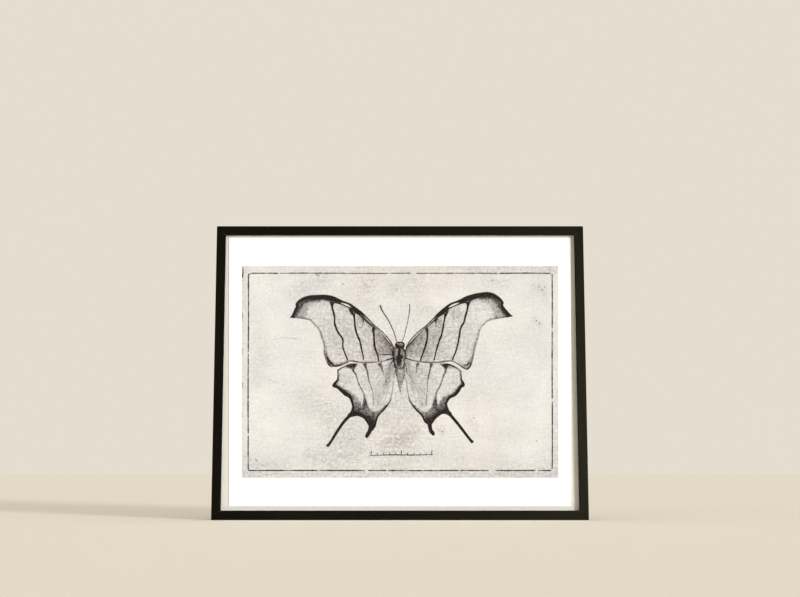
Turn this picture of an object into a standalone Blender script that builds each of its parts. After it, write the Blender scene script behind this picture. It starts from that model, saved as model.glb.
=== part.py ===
"""A slim black picture frame with a float-mounted sheet behind glass.

The frame stands upright on its bottom rail. +X runs to the right, +Y to the back and +Z up.
The origin is the middle of the bottom rail's underside.
"""
from math import pi, radians

import bmesh
import bpy
from mathutils import Matrix, Vector

# Driving dimensions, in metres
FRAME_WIDTH = 0.3855
FRAME_HEIGHT = 0.305
RAIL_DEPTH = 0.018
RAIL_FACE = 0.0096
LIP_THICKNESS = 0.002
REBATE_WIDTH = 0.0044
FRONT_ROUND = 0.0006
BACK_BEVEL = 0.0004
GAP = 0.0003

GLAZING_THICKNESS = 0.0015
SHEET_TOP_WIDTH = 0.3605
SHEET_BOTTOM_WIDTH = 0.3505
SHEET_HEIGHT = 0.2794
SHEET_THICKNESS = 0.0003
SHEET_LIFT = 0.0011
MOUNT_BOARD_THICKNESS = 0.0014
BACKING_THICKNESS = 0.003
STACK_CLEARANCE = 0.0005

TAB_WIDTH = 0.006
TAB_THICKNESS = 0.0005
TAB_BURIED = 0.003
TAB_FREE = 0.012
TAB_TIP_WIDTH = 0.0028
TAB_TIP_LIFT = 0.001
SIDE_TAB_SPACING = 0.13
LONG_TAB_SPACING = 0.13

CORNER_NAIL_APEX = 0.0036
CORNER_NAIL_LEG = 0.0024
CORNER_NAIL_THICKNESS = 0.0005
CORNER_NAIL_LENGTH = 0.007

HANGER_LENGTH = 0.045
HANGER_HEIGHT = 0.0095
HANGER_THICKNESS = 0.0008
HANGER_RISE = 0.0016
HANGER_BELOW_TOP = 0.034
TOOTH_PITCH = 0.0025
TOOTH_DEPTH = 0.0018
TOOTH_COUNT = 9
RAMP_LENGTH = 0.003
RIVET_SPACING = 0.037
RIVET_HEAD_RADIUS = 0.0024
RIVET_HEAD_HEIGHT = 0.0009
RIVET_SHANK_RADIUS = 0.0012
ROUND_SEGMENTS = 32

# Worked out from the driving dimensions
WALL = RAIL_FACE - REBATE_WIDTH
FRONT = -RAIL_DEPTH / 2
BACK = RAIL_DEPTH / 2
MITRE_SETBACK = GAP / 2 * 2 ** 0.5
STACK_WIDTH = FRAME_WIDTH - 2 * WALL - 2 * STACK_CLEARANCE
STACK_HEIGHT = FRAME_HEIGHT - 2 * WALL - 2 * STACK_CLEARANCE
GLAZING_FRONT = FRONT + LIP_THICKNESS + GAP
SHEET_FRONT = GLAZING_FRONT + GLAZING_THICKNESS + GAP
MOUNT_BOARD_FRONT = SHEET_FRONT + SHEET_THICKNESS + GAP
BACKING_FRONT = MOUNT_BOARD_FRONT + MOUNT_BOARD_THICKNESS + GAP
BACKING_BACK = BACKING_FRONT + BACKING_THICKNESS
TAB_FRONT = BACKING_BACK + GAP
HANGER_FRONT = BACKING_BACK + GAP
HANGER_Z = FRAME_HEIGHT - HANGER_BELOW_TOP

# Where each rail's outer face has its middle, how the rail is turned about Y, and its length
RAILS = {
    "rail_bottom": ((0, 0, 0), 0, FRAME_WIDTH),
    "rail_top": ((0, 0, FRAME_HEIGHT), 180, FRAME_WIDTH),
    "rail_left": ((-FRAME_WIDTH / 2, 0, FRAME_HEIGHT / 2), 90, FRAME_HEIGHT),
    "rail_right": ((FRAME_WIDTH / 2, 0, FRAME_HEIGHT / 2), -90, FRAME_HEIGHT),
}
# Each tab's rail, and its place along that rail's own X axis
TABS = {
    "tab_top_left": ("rail_top", LONG_TAB_SPACING),
    "tab_top_centre": ("rail_top", 0),
    "tab_top_right": ("rail_top", -LONG_TAB_SPACING),
    "tab_bottom_left": ("rail_bottom", -LONG_TAB_SPACING),
    "tab_bottom_centre": ("rail_bottom", 0),
    "tab_bottom_right": ("rail_bottom", LONG_TAB_SPACING),
    "tab_left_upper": ("rail_left", -SIDE_TAB_SPACING / 2),
    "tab_left_lower": ("rail_left", SIDE_TAB_SPACING / 2),
    "tab_right_upper": ("rail_right", SIDE_TAB_SPACING / 2),
    "tab_right_lower": ("rail_right", -SIDE_TAB_SPACING / 2),
}
# Each corner's outer point, how its nail is turned about Y, and the two rails that meet there
CORNERS = {
    "bottom_left": ((-FRAME_WIDTH / 2, 0, 0), 0, ("rail_bottom", "rail_left")),
    "top_left": ((-FRAME_WIDTH / 2, 0, FRAME_HEIGHT), 90, ("rail_top", "rail_left")),
    "top_right": ((FRAME_WIDTH / 2, 0, FRAME_HEIGHT), 180, ("rail_top", "rail_right")),
    "bottom_right": ((FRAME_WIDTH / 2, 0, 0), -90, ("rail_bottom", "rail_right")),
}


def clear_scene():
    for thing in list(bpy.data.objects):
        bpy.data.objects.remove(thing, do_unlink=True)


def make_material(name, colour, roughness, metallic=0.0, alpha=1.0):
    material = bpy.data.materials.new(name)
    material.use_nodes = True
    shader = material.node_tree.nodes["Principled BSDF"]
    shader.inputs["Base Color"].default_value = (*colour, 1.0)
    shader.inputs["Roughness"].default_value = roughness
    shader.inputs["Metallic"].default_value = metallic
    shader.inputs["Alpha"].default_value = alpha
    return material


def add_object(name, shape, material=None, smooth_angle=None):
    """Make an object from a bmesh, with its faces turned outwards."""
    bmesh.ops.recalc_face_normals(shape, faces=shape.faces[:])
    mesh = bpy.data.meshes.new(name)
    shape.to_mesh(mesh)
    shape.free()
    thing = bpy.data.objects.new(name, mesh)
    bpy.context.collection.objects.link(thing)
    if material:
        mesh.materials.append(material)
    if smooth_angle:
        mesh.shade_smooth()
        mesh.set_sharp_from_angle(angle=smooth_angle)
    return thing


def place(thing, location, turn_about_y):
    thing.location = location
    thing.rotation_euler = (0, radians(turn_about_y), 0)


def cut(target, cutter):
    """Subtract one object from another, and keep the cutter as a hidden guide."""
    cutter.hide_render = True
    cutter.display_type = "WIRE"
    modifier = target.modifiers.new("cut_" + cutter.name, "BOOLEAN")
    modifier.operation = "DIFFERENCE"
    modifier.object = cutter


def box(low, high):
    shape = bmesh.new()
    size = Vector(high) - Vector(low)
    middle = (Vector(high) + Vector(low)) / 2
    matrix = Matrix.Translation(middle) @ Matrix.Diagonal((*size, 1))
    bmesh.ops.create_cube(shape, size=1, matrix=matrix)
    return shape


def prism(outline, low_y, high_y):
    """Extrude an outline of (x, z) points from one depth to another."""
    shape = bmesh.new()
    face = shape.faces.new([shape.verts.new((x, low_y, z)) for x, z in outline])
    grown = bmesh.ops.extrude_face_region(shape, geom=[face])
    moved = [part for part in grown["geom"] if isinstance(part, bmesh.types.BMVert)]
    bmesh.ops.translate(shape, verts=moved, vec=(0, high_y - low_y, 0))
    return shape


def strip(sections):
    """Join four-cornered sections, given in order, into one closed bar."""
    shape = bmesh.new()
    rings = [[shape.verts.new(point) for point in section] for section in sections]
    for near, far in zip(rings, rings[1:]):
        for k in range(4):
            shape.faces.new((near[k], near[k - 3], far[k - 3], far[k]))
    shape.faces.new(rings[0])
    shape.faces.new(rings[-1])
    return shape


def rod(radius, low_y, high_y, x=0.0, z=0.0):
    shape = bmesh.new()
    along_y = Matrix.Rotation(pi / 2, 4, "X")
    matrix = Matrix.Translation((x, (low_y + high_y) / 2, z)) @ along_y
    bmesh.ops.create_cone(shape, cap_ends=True, segments=ROUND_SEGMENTS, radius1=radius,
                          radius2=radius, depth=high_y - low_y, matrix=matrix)
    return shape


def quarter_round(centre, start, end, radius, steps=3):
    """Points of a rounded edge, turning from one direction to the other about its centre."""
    first = Vector(start)
    last = Vector(end)
    points = []
    for k in range(steps + 1):
        direction = first.slerp(last, k / steps)
        points.append((centre[0] + radius * direction.x, centre[1] + radius * direction.y))
    return points


def rail_section():
    """The rail's outline as (distance inwards, depth) points, from its outer front edge."""
    outer_front = (FRONT_ROUND, FRONT + FRONT_ROUND)
    inner_front = (RAIL_FACE - FRONT_ROUND, FRONT + FRONT_ROUND)
    points = quarter_round(outer_front, (-1, 0), (0, -1), FRONT_ROUND)
    points += quarter_round(inner_front, (0, -1), (1, 0), FRONT_ROUND)
    points += [(RAIL_FACE, FRONT + LIP_THICKNESS), (WALL, FRONT + LIP_THICKNESS)]
    points += [(WALL, BACK - BACK_BEVEL), (WALL - BACK_BEVEL, BACK)]
    points += [(BACK_BEVEL, BACK), (0, BACK - BACK_BEVEL)]
    return points


def make_rail(name, material):
    """A rail lies along X with its outer face at z = 0, and both ends are mitred at 45 degrees."""
    location, turn, length = RAILS[name]
    shape = bmesh.new()
    ends = []
    for side in (-1, 1):
        reach = length / 2 - MITRE_SETBACK
        ends.append([shape.verts.new((side * (reach - inward), depth, inward))
                     for inward, depth in rail_section()])
    shape.faces.new(ends[0])
    shape.faces.new(ends[1])
    bmesh.ops.bridge_loops(shape, edges=shape.edges[:])
    rail = add_object(name, shape, material)
    place(rail, location, turn)
    return rail


def make_panel(name, front, thickness, material):
    """A flat panel that fills the rebate, with a little clearance all round."""
    middle = FRAME_HEIGHT / 2
    low = (-STACK_WIDTH / 2, front, middle - STACK_HEIGHT / 2)
    high = (STACK_WIDTH / 2, front + thickness, middle + STACK_HEIGHT / 2)
    return add_object(name, box(low, high), material)


def make_sheet(material):
    """The printed sheet was trimmed by hand: its top edge came out a little longer than its bottom one."""
    half_top = SHEET_TOP_WIDTH / 2
    half_bottom = SHEET_BOTTOM_WIDTH / 2
    bottom = (FRAME_HEIGHT - SHEET_HEIGHT) / 2 + SHEET_LIFT
    top = bottom + SHEET_HEIGHT
    outline = [(-half_bottom, bottom), (half_bottom, bottom), (half_top, top), (-half_top, top)]
    add_object("print_sheet", prism(outline, SHEET_FRONT, SHEET_FRONT + SHEET_THICKNESS), material)


def on_rail(thing, rail_name, along):
    """Place a piece made at a rail's middle further along that rail."""
    location, turn, _ = RAILS[rail_name]
    offset = Matrix.Rotation(radians(turn), 3, "Y") @ Vector((along, 0, 0))
    place(thing, Vector(location) + offset, turn)


def make_tab(name, rails, material):
    """A steel tab buried in the rebate wall, which lies along the backing board."""
    stations = [
        (WALL - TAB_BURIED, TAB_TIP_WIDTH, 0),
        (WALL - TAB_BURIED / 2, TAB_WIDTH, 0),
        (WALL + TAB_FREE * 0.65, TAB_WIDTH, 0),
        (WALL + TAB_FREE * 0.9, TAB_WIDTH * 0.8, TAB_TIP_LIFT * 0.6),
        (WALL + TAB_FREE, TAB_TIP_WIDTH, TAB_TIP_LIFT),
    ]
    sections = []
    for inward, width, lift in stations:
        low = TAB_FRONT + lift
        high = low + TAB_THICKNESS
        half = width / 2
        sections.append([(-half, low, inward), (half, low, inward),
                         (half, high, inward), (-half, high, inward)])
    rail_name, along = TABS[name]
    tab = add_object(name, strip(sections), material)
    on_rail(tab, rail_name, along)
    half = TAB_WIDTH / 2 + GAP
    low = (-half, TAB_FRONT - GAP, WALL - TAB_BURIED - GAP)
    high = (half, TAB_FRONT + TAB_THICKNESS + GAP, WALL + GAP)
    slot = add_object(name + "_slot", box(low, high))
    on_rail(slot, rail_name, along)
    cut(rails[rail_name], slot)


def corner_outline(spare):
    """The nail's bent section at a corner, grown all round by the spare distance."""
    outer = CORNER_NAIL_APEX + spare
    inner = CORNER_NAIL_APEX - CORNER_NAIL_THICKNESS - spare
    end = CORNER_NAIL_APEX - CORNER_NAIL_LEG - spare
    return [(end, inner), (inner, inner), (inner, end), (outer, end), (outer, outer), (end, outer)]


def make_corner_nail(corner, rails, material):
    location, turn, meeting = CORNERS[corner]
    back = BACK - GAP
    front = back - CORNER_NAIL_LENGTH
    name = "corner_nail_" + corner
    nail = add_object(name, prism(corner_outline(0), front, back), material)
    place(nail, location, turn)
    pocket = add_object(name + "_pocket", prism(corner_outline(GAP), front - GAP, BACK + GAP))
    place(pocket, location, turn)
    for rail_name in meeting:
        cut(rails[rail_name], pocket)


def hanger_rise(x):
    """How far the hanger stands off the board at x: flat ends, a ramp, then a raised middle."""
    flat = TOOTH_COUNT * TOOTH_PITCH / 2
    share = min(max((flat + RAMP_LENGTH - abs(x)) / RAMP_LENGTH, 0), 1)
    return HANGER_RISE * share


def make_hanger(material):
    """A metal strip with saw teeth along the lower edge of its raised middle."""
    flat = TOOTH_COUNT * TOOTH_PITCH / 2
    teeth = [(k * TOOTH_PITCH / 2 - flat, TOOTH_DEPTH * (k % 2)) for k in range(2 * TOOTH_COUNT + 1)]
    ends = [HANGER_LENGTH / 2, HANGER_LENGTH / 2 - BACK_BEVEL, flat + RAMP_LENGTH]
    stations = [(-x, 0) for x in ends] + teeth + [(x, 0) for x in reversed(ends)]
    sections = []
    for x, notch in stations:
        low = HANGER_FRONT + hanger_rise(x)
        high = low + HANGER_THICKNESS
        taper = BACK_BEVEL if abs(x) == HANGER_LENGTH / 2 else 0
        bottom = HANGER_Z - HANGER_HEIGHT / 2 + notch + taper
        top = HANGER_Z + HANGER_HEIGHT / 2 - taper
        sections.append([(x, low, bottom), (x, low, top), (x, high, top), (x, high, bottom)])
    return add_object("hanger", strip(sections), material)


def make_rivet(name, x, material):
    """A domed rivet that runs through the hanger and the backing board."""
    head = HANGER_FRONT + HANGER_THICKNESS + GAP
    end = BACKING_FRONT + GAP
    dome = [(RIVET_HEAD_RADIUS, 0), (RIVET_HEAD_RADIUS, 0.35), (RIVET_HEAD_RADIUS * 0.85, 0.75)]
    outline = [(0, end), (RIVET_SHANK_RADIUS, end), (RIVET_SHANK_RADIUS, head)]
    outline += [(radius, head + share * RIVET_HEAD_HEIGHT) for radius, share in dome]
    outline += [(RIVET_HEAD_RADIUS * 0.5, head + RIVET_HEAD_HEIGHT), (0, head + RIVET_HEAD_HEIGHT)]
    shape = bmesh.new()
    points = [shape.verts.new((radius, depth, 0)) for radius, depth in outline]
    lines = [shape.edges.new(pair) for pair in zip(points, points[1:])]
    bmesh.ops.spin(shape, geom=points + lines, cent=(0, 0, 0), axis=(0, 1, 0), angle=2 * pi,
                   steps=ROUND_SEGMENTS, use_merge=True)
    bmesh.ops.remove_doubles(shape, verts=shape.verts[:], dist=1e-6)
    rivet = add_object(name, shape, material, smooth_angle=radians(35))
    place(rivet, (x, 0, HANGER_Z), 0)


def make_hanger_and_rivets(backing, steel, aluminium):
    hanger = make_hanger(steel)
    for side, name in ((-1, "left"), (1, "right")):
        x = side * RIVET_SPACING / 2
        make_rivet("hanger_rivet_" + name, x, aluminium)
        radius = RIVET_SHANK_RADIUS + GAP
        hole = rod(radius, BACKING_FRONT - GAP, BACK, x, HANGER_Z)
        drill = add_object("hanger_hole_" + name, hole)
        cut(hanger, drill)
        cut(backing, drill)


def build():
    clear_scene()
    black_wood = make_material("black_wood", (0.009, 0.008, 0.005), 0.4)
    glass = make_material("clear_glass", (0.95, 0.97, 0.96), 0.03, alpha=0.15)
    white_paper = make_material("white_paper", (0.9, 0.9, 0.89), 0.8)
    cream_board = make_material("cream_board", (0.74, 0.68, 0.6), 0.85)
    hardboard = make_material("hardboard", (0.22, 0.12, 0.06), 0.75)
    steel = make_material("steel", (0.5, 0.5, 0.5), 0.35, metallic=0.9)
    aluminium = make_material("aluminium", (0.75, 0.75, 0.75), 0.35, metallic=0.9)

    rails = {name: make_rail(name, black_wood) for name in RAILS}
    make_panel("glazing", GLAZING_FRONT, GLAZING_THICKNESS, glass)
    make_sheet(white_paper)
    make_panel("mount_board", MOUNT_BOARD_FRONT, MOUNT_BOARD_THICKNESS, cream_board)
    backing = make_panel("backing_board", BACKING_FRONT, BACKING_THICKNESS, hardboard)
    for name in TABS:
        make_tab(name, rails, steel)
    for corner in CORNERS:
        make_corner_nail(corner, rails, steel)
    make_hanger_and_rivets(backing, steel, aluminium)


build()
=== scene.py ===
# %% [markdown]
# # A framed butterfly print
#
# A slim black picture frame stands on its bottom rail. Behind its glass a white sheet is mounted on cream board,
# and on the sheet is a pencil study of a butterfly on old paper. The construction (rails, glass, boards, tabs and
# hanger) comes ready made. This lesson gives each of those pieces its finish, and then draws the print.

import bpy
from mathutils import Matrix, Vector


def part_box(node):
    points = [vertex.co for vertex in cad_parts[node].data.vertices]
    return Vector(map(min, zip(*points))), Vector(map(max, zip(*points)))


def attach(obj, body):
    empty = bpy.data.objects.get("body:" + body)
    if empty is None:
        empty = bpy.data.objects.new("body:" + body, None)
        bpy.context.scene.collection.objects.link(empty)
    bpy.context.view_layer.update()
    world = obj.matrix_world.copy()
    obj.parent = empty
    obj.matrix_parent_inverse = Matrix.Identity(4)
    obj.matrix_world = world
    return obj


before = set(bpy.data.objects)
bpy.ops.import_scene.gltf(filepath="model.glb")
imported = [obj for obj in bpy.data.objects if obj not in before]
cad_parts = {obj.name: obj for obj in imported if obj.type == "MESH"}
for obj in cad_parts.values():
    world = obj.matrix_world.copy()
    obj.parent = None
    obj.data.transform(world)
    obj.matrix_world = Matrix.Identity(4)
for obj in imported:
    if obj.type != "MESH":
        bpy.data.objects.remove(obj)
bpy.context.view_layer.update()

# %% [markdown]
# ## The drawing's own units
#
# Someone who draws on paper measures in millimetres from the middle of the picture, so the whole print is laid out
# that way: x to the right, z up. One function turns such a place into a place in the room. The sheet was trimmed
# by hand and is a little wider at its top, and the print spreads in the same way, so the function does that too.
# Ink has no thickness, but two surfaces in one plane flicker, so each layer of the print lies a little in front of
# the one below.

# %% Places on the sheet
import random
from math import cos, hypot, radians, sin

import bpy
import numpy as np
from mathutils import Vector

MM = 0.001
sheet_low, sheet_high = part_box("print_sheet")
sheet_middle = (sheet_low + sheet_high) / 2
SPREAD = 0.0001
PICTURE_DROP = 1.94


def on_sheet(x, z, depth):
    """The place in the room of a drawing point, so many millimetres in front of the sheet."""
    spread = 1 + SPREAD * z
    height = sheet_middle.z + (z * spread - PICTURE_DROP) * MM
    return (x * spread * MM, sheet_low.y - depth * MM, height)


print("sheet, in mm:", [round(side / MM, 1) for side in sheet_high - sheet_low])

# %% [markdown]
# ## Camera
#
# A frame that leans on a wall is seen a little from below. Here the frame is upright, so the camera is low and
# looks slightly up instead, which makes the uprights lean together in the same way.

# %% Camera
CAMERA_AWAY = 1.298
CAMERA_HEIGHT = 0.0515
CAMERA_TILT = 7.8
LENS = 56.07

camera_data = bpy.data.cameras.new("camera")
camera_data.lens = LENS
camera = bpy.data.objects.new("camera", camera_data)
bpy.context.scene.collection.objects.link(camera)
camera.location = (0, -CAMERA_AWAY, CAMERA_HEIGHT)
camera.rotation_euler = (radians(90 + CAMERA_TILT), 0, 0)
bpy.context.scene.camera = camera
bpy.context.scene.view_settings.view_transform = "Standard"
print("camera", CAMERA_AWAY, "m away, lens", LENS)

# %% [markdown]
# ## Nodes by hand
#
# Every finish below is a small network of nodes. Adding a node, setting it and linking it takes three lines each
# time, so short helpers do it. Sizes of patterns are given in millimetres, because a maker knows how wide a grain
# is, and not what scale a noise has.

# %% Helpers for nodes


def feed(tree, node, inputs):
    """Give each named input of a node either a value or another node's output."""
    for name, value in inputs.items():
        if isinstance(value, bpy.types.NodeSocket):
            tree.links.new(value, node.inputs[name])
        else:
            node.inputs[name].default_value = value


def add_node(tree, kind, inputs=None, **settings):
    node = tree.nodes.new(kind)
    for name, value in settings.items():
        setattr(node, name, value)
    feed(tree, node, inputs or {})
    return node


def calculate(tree, operation, first, second=0.0, third=0.0):
    inputs = {0: first, 1: second, 2: third}
    return add_node(tree, "ShaderNodeMath", inputs, operation=operation).outputs[0]


def fade(tree, value, low, high, start=0.0, end=1.0):
    """Turn a value between low and high into one between start and end."""
    inputs = {"Value": value, "From Min": low, "From Max": high, "To Min": start, "To Max": end}
    return add_node(tree, "ShaderNodeMapRange", inputs, interpolation_type="SMOOTHSTEP").outputs[0]


def scale_axes(tree, place, factors):
    return add_node(tree, "ShaderNodeVectorMath", {0: place, 1: factors}, operation="MULTIPLY").outputs[0]


def grain(tree, place, size, detail=2.0, roughness=0.5, stretch=(1, 1, 1)):
    """Noise whose features are about size millimetres wide, stretched along an axis if asked."""
    scaled = scale_axes(tree, place, [1 / part for part in stretch])
    inputs = {"Vector": scaled, "Scale": 1 / (size * MM), "Detail": detail, "Roughness": roughness}
    return add_node(tree, "ShaderNodeTexNoise", inputs).outputs[0]


def blend_colour(tree, share, first, second):
    inputs = {0: share, 6: first, 7: second}
    return add_node(tree, "ShaderNodeMix", inputs, data_type="RGBA").outputs[2]


def new_group(name, inputs, outputs):
    """An empty node group with named sockets. Returns its tree, its input node and its output node."""
    tree = bpy.data.node_groups.new(name, "ShaderNodeTree")
    kinds = {"colour": "NodeSocketColor", "value": "NodeSocketFloat", "vector": "NodeSocketVector"}
    for socket, (kind, default) in inputs.items():
        made = tree.interface.new_socket(name=socket, in_out="INPUT", socket_type=kinds[kind])
        if default is not None:
            made.default_value = default
    for socket, kind in outputs.items():
        tree.interface.new_socket(name=socket, in_out="OUTPUT", socket_type=kinds[kind])
    return tree, add_node(tree, "NodeGroupInput"), add_node(tree, "NodeGroupOutput")


def add_group(tree, name, inputs):
    """Use a node group in a material. Returns its outputs."""
    return add_node(tree, "ShaderNodeGroup", inputs, node_tree=bpy.data.node_groups[name]).outputs


def new_material(name):
    """A material with a Principled shader. Returns the material, its tree, the shader and object coordinates."""
    material = bpy.data.materials.new(name)
    material.use_nodes = True
    tree = material.node_tree
    shader = tree.nodes["Principled BSDF"]
    place = add_node(tree, "ShaderNodeTexCoord").outputs["Object"]
    return material, tree, shader, place


def add_bump(tree, shader, height, distance_mm, strength):
    inputs = {"Height": height, "Distance": distance_mm * MM, "Strength": strength}
    feed(tree, shader, {"Normal": add_node(tree, "ShaderNodeBump", inputs).outputs["Normal"]})


def deselect():
    bpy.ops.object.select_all(action="DESELECT")


print("helpers ready")

# %% [markdown]
# ## Studio
#
# The floor and the surround are one plain pale tone. The surround lights the frame evenly from all sides. The main
# light comes from the right, like a large window some way off, so the right rail throws its narrow shadow on the
# board inside. A sun lamp with a wide angle gives that light the same strength all over the floor, and a second,
# very soft one overhead keeps the floor as pale as the surround. The same window shines back from the dark paint
# of the right rail. A sun lamp is no good thing to mirror, so it is hidden from reflections, and a soft panel that
# lights nothing else stands in for it there.

# %% Floor, surround and window light
FLOOR_COLOUR = (0.93, 0.875, 0.78, 1)
SURROUND_LIGHT = (1.0, 0.94, 0.82, 1)
SURROUND_STRENGTH = 0.55
SURROUND_SEEN = (0.775, 0.723, 0.631, 1)
WINDOW_COLOUR = (0.97, 0.985, 1.0)
WINDOW_DIRECTION = Vector((1.1, -1.0, 0.22)).normalized()
WINDOW_STRENGTH = 3.12
WINDOW_ANGLE = 14
OVERHEAD_STRENGTH = 0.45
OVERHEAD_ANGLE = 60
PANEL_PLACE = (0.78, -1.25, 0.15)
PANEL_SIDE = 0.3
PANEL_POWER = 28.0
PANEL_COLOUR = (1.0, 0.93, 0.6)

deselect()
bpy.ops.mesh.primitive_circle_add(vertices=96, radius=12, fill_type="NGON", location=(0, 0, 0))
floor = bpy.context.object
floor.name = "floor"
floor_material, tree, shader, place = new_material("pale_floor")
cloud = grain(tree, place, 400, 2)
floor_tone = blend_colour(tree, cloud, FLOOR_COLOUR, [value * 0.98 for value in FLOOR_COLOUR[:3]] + [1])
feed(tree, shader, {"Base Color": floor_tone, "Roughness": 0.9, "Specular IOR Level": 0})
floor.data.materials.append(floor_material)

world = bpy.data.worlds.new("studio")
world.use_nodes = True
bpy.context.scene.world = world
tree = world.node_tree
tree.nodes.clear()
lit = add_node(tree, "ShaderNodeBackground", {"Color": SURROUND_LIGHT, "Strength": SURROUND_STRENGTH})
seen = add_node(tree, "ShaderNodeBackground", {"Color": SURROUND_SEEN})
camera_ray = add_node(tree, "ShaderNodeLightPath").outputs["Is Camera Ray"]
mixed = add_node(tree, "ShaderNodeMixShader", {0: camera_ray, 1: lit.outputs[0], 2: seen.outputs[0]})
add_node(tree, "ShaderNodeOutputWorld", {"Surface": mixed.outputs[0]})


def hang_light(name, kind, place, aim, **settings):
    """A light at a place that shines towards another place."""
    data = bpy.data.lights.new(name, kind)
    for setting, value in settings.items():
        setattr(data, setting, value)
    lamp = bpy.data.objects.new(name, data)
    bpy.context.scene.collection.objects.link(lamp)
    lamp.location = place
    lamp.rotation_euler = (Vector(aim) - Vector(place)).to_track_quat("-Z", "Y").to_euler()
    return lamp


window = hang_light("window_light", "SUN", sheet_middle + WINDOW_DIRECTION, sheet_middle,
                    energy=WINDOW_STRENGTH, angle=radians(WINDOW_ANGLE), color=WINDOW_COLOUR)
window.visible_glossy = False
hang_light("overhead_light", "SUN", (0, 0, 2), (0, 0.001, 0),
           energy=OVERHEAD_STRENGTH, angle=radians(OVERHEAD_ANGLE), color=WINDOW_COLOUR)
panel = hang_light("window_panel", "AREA", PANEL_PLACE, sheet_middle,
                   energy=PANEL_POWER, size=PANEL_SIDE, color=PANEL_COLOUR)
panel.visible_diffuse = False
print("window light from", [round(value, 2) for value in WINDOW_DIRECTION])

# %% [markdown]
# ## Painted wood
#
# The four rails are thin hardwood under black satin paint. Paint hides the colour of wood, but not all of its
# grain: long shallow hollows still catch the light, and the brush leaves the sheen a little uneven. The grain runs
# along each rail, so one group serves both directions, and only the stretch of its noise differs. In small patches
# the paint is a touch lighter, as where fingers and packing rub.

# %% Painted rails
PAINT = (0.0022, 0.0019, 0.0004, 1)
PAINT_RUBBED = (0.0045, 0.004, 0.0014, 1)
PAINT_SPECULAR = 0.065
RAIL_GRAIN_STRETCH = 14

group, given, result = new_group(
    "painted_wood",
    {"Place": ("vector", None), "Sheen": ("value", 0.5)},
    {"Colour": "colour", "Roughness": "value", "Height": "value"})
pores = grain(group, given.outputs["Place"], 0.6, 4, 0.65)
waves = grain(group, given.outputs["Place"], 5, 2)
rub = fade(group, calculate(group, "MULTIPLY", pores, waves), 0.24, 0.42)
uneven = fade(group, waves, 0.3, 0.7, -0.06, 0.06)
feed(group, result, {"Colour": blend_colour(group, rub, PAINT, PAINT_RUBBED),
                     "Roughness": calculate(group, "ADD", given.outputs["Sheen"], uneven),
                     "Height": calculate(group, "MULTIPLY_ADD", waves, 0.6, pores)})


def painted_wood(name, stretch):
    material, tree, shader, place = new_material(name)
    along = scale_axes(tree, place, [1 / part for part in stretch])
    paint = add_group(tree, "painted_wood", {"Place": along})
    feed(tree, shader, {"Base Color": paint["Colour"], "Roughness": paint["Roughness"],
                        "Specular IOR Level": PAINT_SPECULAR})
    add_bump(tree, shader, paint["Height"], 0.05, 0.5)
    return material


def give(material, *names):
    for name in names:
        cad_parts[name].data.materials.clear()
        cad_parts[name].data.materials.append(material)


give(painted_wood("black_paint_across", (RAIL_GRAIN_STRETCH, 1, 1)), "rail_top", "rail_bottom")
give(painted_wood("black_paint_upright", (1, 1, RAIL_GRAIN_STRETCH)), "rail_left", "rail_right")
print("rails painted")

# %% [markdown]
# ## Boards and sheet
#
# The mount is cream paper board with a soft fibre texture, and the sheet on it is smooth white paper. Behind them
# the backing is brown hardboard, pressed from wood fibre, so it has dark and light flecks. All three could share
# one noise, but they differ in the size of what shows: fibres of half a millimetre on paper, flecks of two
# millimetres on hardboard.

# %% Paper, board and hardboard


def pressed_fibre(name, light, dark, fleck, tooth_mm, roughness):
    """A material of pressed fibres: flecks of a size, between two colours, with a fine tooth."""
    material, tree, shader, place = new_material(name)
    flecks = grain(tree, place, fleck, 5, 0.6, (1.6, 1, 1))
    tooth = grain(tree, place, 0.5, 3, 0.6)
    share = fade(tree, calculate(tree, "MULTIPLY_ADD", tooth, 0.4, flecks), 0.5, 0.95)
    feed(tree, shader, {"Base Color": blend_colour(tree, share, dark, light),
                        "Roughness": fade(tree, tooth, 0.2, 0.8, roughness + 0.06, roughness - 0.06),
                        "Specular IOR Level": 0.3})
    add_bump(tree, shader, tooth, tooth_mm, 0.6)
    return material


give(pressed_fibre("white_sheet_paper", (0.93, 0.93, 0.92, 1), (0.90, 0.90, 0.89, 1), 3, 0.02, 0.8),
     "print_sheet")
give(pressed_fibre("cream_mount_paper", (0.71, 0.688, 0.645, 1), (0.665, 0.642, 0.598, 1), 4, 0.04, 0.88),
     "mount_board")
give(pressed_fibre("brown_hardboard", (0.27, 0.155, 0.085, 1), (0.13, 0.07, 0.036, 1), 2, 0.12, 0.72),
     "backing_board")
print("boards finished")

# %% [markdown]
# ## Metal
#
# Tabs, corner nails and hanger are zinc-plated steel, and the two rivets are aluminium. Plating is never even:
# its sheen changes in soft patches, and rolling leaves fine lines along the strip.

# %% Plated steel and aluminium


def rolled_metal(name, colour, dull, roughness):
    material, tree, shader, place = new_material(name)
    patches = grain(tree, place, 3, 3)
    lines = grain(tree, place, 0.25, 2, 0.6, (12, 1, 1))
    feed(tree, shader, {"Base Color": blend_colour(tree, fade(tree, patches, 0.35, 0.7), colour, dull),
                        "Roughness": calculate(tree, "MULTIPLY_ADD", patches, 0.2, roughness),
                        "Metallic": 1})
    add_bump(tree, shader, lines, 0.02, 0.5)
    return material


steel_names = [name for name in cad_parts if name.startswith(("tab_", "corner_nail_"))]
give(rolled_metal("zinc_plate", (0.52, 0.52, 0.5, 1), (0.36, 0.36, 0.34, 1), 0.28), "hanger", *steel_names)
give(rolled_metal("rivet_aluminium", (0.78, 0.78, 0.77, 1), (0.6, 0.6, 0.6, 1), 0.25),
     "hanger_rivet_left", "hanger_rivet_right")
print(len(steel_names) + 3, "metal pieces")

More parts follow.
